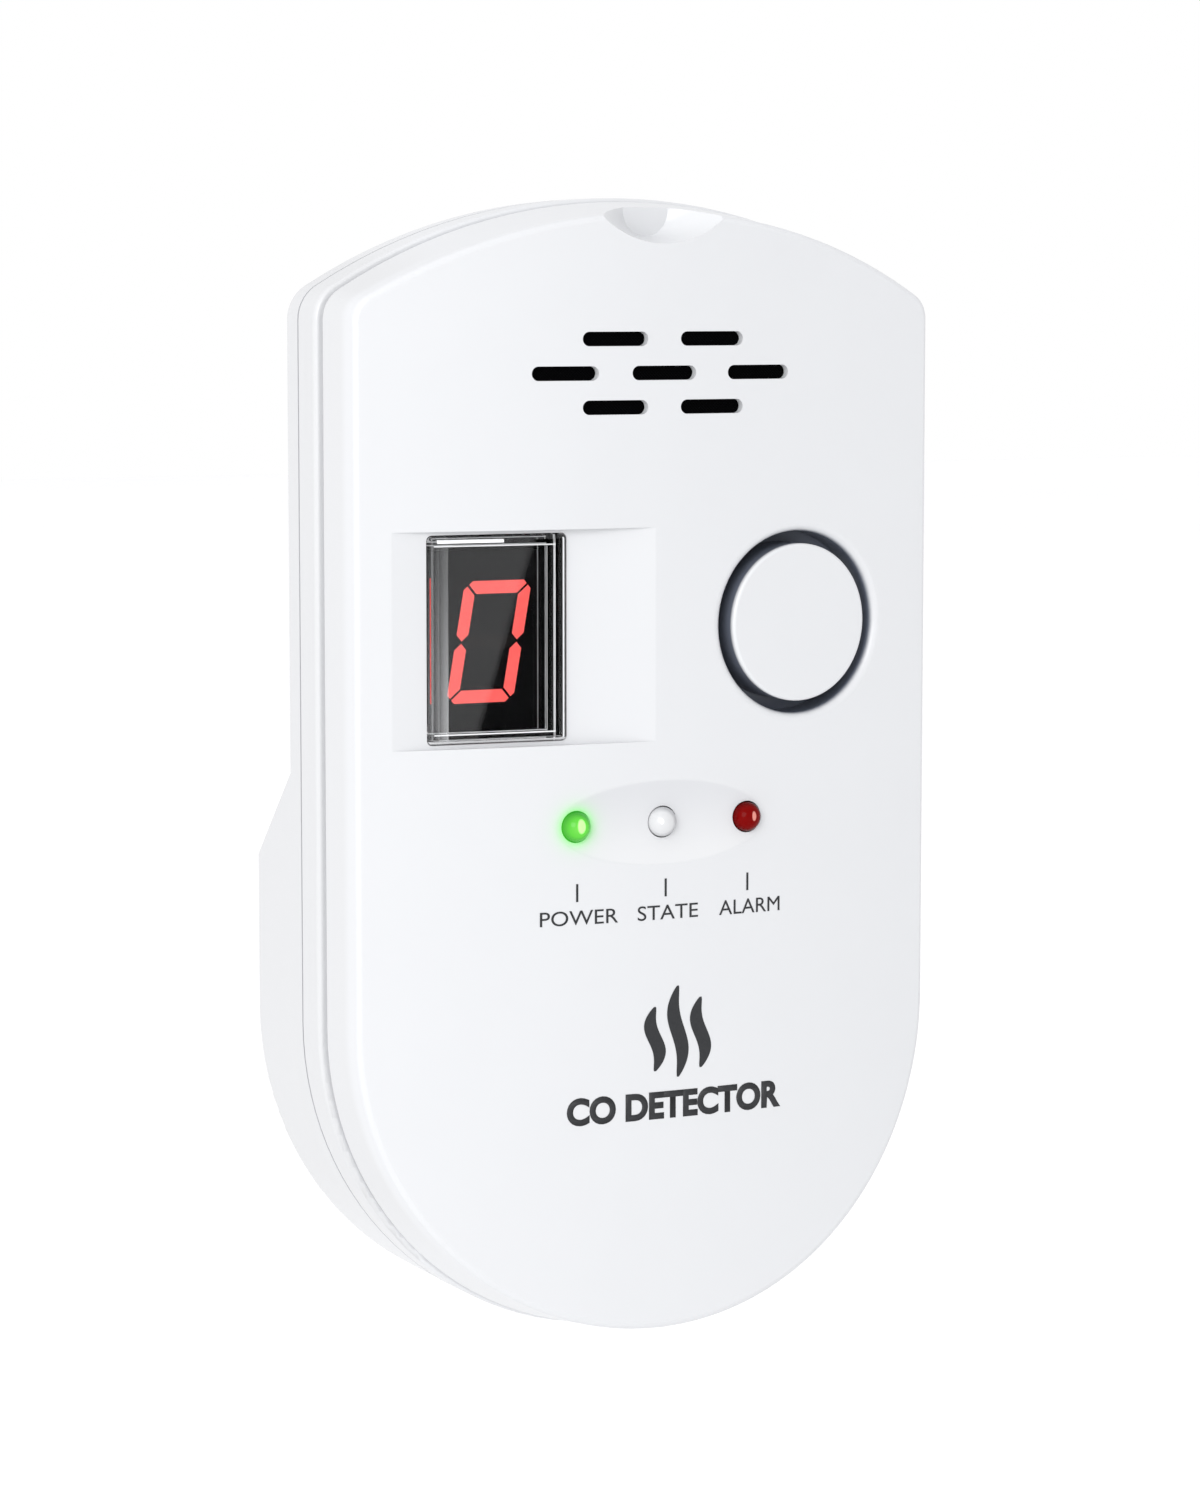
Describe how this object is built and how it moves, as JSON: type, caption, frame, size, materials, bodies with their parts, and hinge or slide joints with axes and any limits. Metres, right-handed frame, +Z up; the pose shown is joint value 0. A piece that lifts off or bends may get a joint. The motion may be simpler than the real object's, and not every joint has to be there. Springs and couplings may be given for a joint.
{
  "type": "plug-in carbon monoxide detector",
  "caption": "White plug-in carbon monoxide detector with a red one-figure display, round test button, three indicator lamps and sound slots.",
  "frame": {"origin": "midway between the two plug blades on the wall face of the rear bulge", "axes": "+X to the right seen from the front, +Y into the wall along the blades, +Z up along the long side"},
  "size_m": [0.07, 0.0469, 0.1216],
  "materials": {
    "shell_white": "satin",
    "button_white": "satin",
    "clear_lens": "gloss",
    "display_black": "satin",
    "segment_red": "satin",
    "segment_dark": "satin",
    "tinned_metal": "satin",
    "black_plastic": "satin",
    "led_green": "gloss",
    "led_clear": "gloss",
    "led_red": "gloss",
    "sensor_steel": "satin",
    "brass": "satin",
    "board_green": "satin",
    "ferrite": "matte",
    "winding_tape": "satin",
    "capacitor_sleeve": "gloss",
    "insert_white": "matte",
    "zinc_steel": "satin",
    "dark_mesh": "matte",
    "print_ink": "matte",
    "label_film": "satin"
  },
  "bodies": {
    "shell": {"front_cover": "shell_white", "rear_cover": "shell_white", "display_window": "clear_lens", "display_housing": "display_black", "display_gasket": "display_black", "lit_segments": "segment_red", "unlit_segment": "segment_dark", "display_pins": "tinned_metal", "switch_body": "black_plastic", "power_led": "led_green", "state_led": "led_clear", "alarm_led": "led_red", "led_leads": "tinned_metal", "sensor_base": "black_plastic", "sensor_cap": "sensor_steel", "sensor_pins": "tinned_metal", "sounder_case": "black_plastic", "sounder_disc": "brass", "sounder_pins": "tinned_metal", "controller_chip": "black_plastic", "crystal": "sensor_steel", "chip_parts": "black_plastic", "main_board": "board_green", "power_board": "board_green", "board_header": "black_plastic", "header_pins": "brass", "transformer_core": "ferrite", "transformer_winding": "winding_tape", "supply_capacitor": "capacitor_sleeve", "fuse": "black_plastic", "bridge_rectifier": "black_plastic", "live_blade": "brass", "neutral_blade": "brass", "plug_insert": "insert_white", "case_screws": "zinc_steel", "main_board_screws": "zinc_steel", "power_board_screws": "zinc_steel", "vent_mesh": "dark_mesh", "rating_label": "label_film"},
    "button": {"test_button": "button_white"},
    "stem": {"switch_stem": "black_plastic"}
  },
  "joints": [
    {"name": "button_press", "type": "slide", "parent": "shell", "child": "button", "axis": [0, 1, 0], "range_m": [0, 0.0006], "stiffness_N_per_m": 400},
    {"name": "stem_press", "type": "slide", "parent": "shell", "child": "stem", "axis": [0, 1, 0], "range_m": [0, 0.0006]}
  ],
  "couplings": [
    {"joint": "stem_press", "follows": "button_press", "ratio": 1}
  ]
}
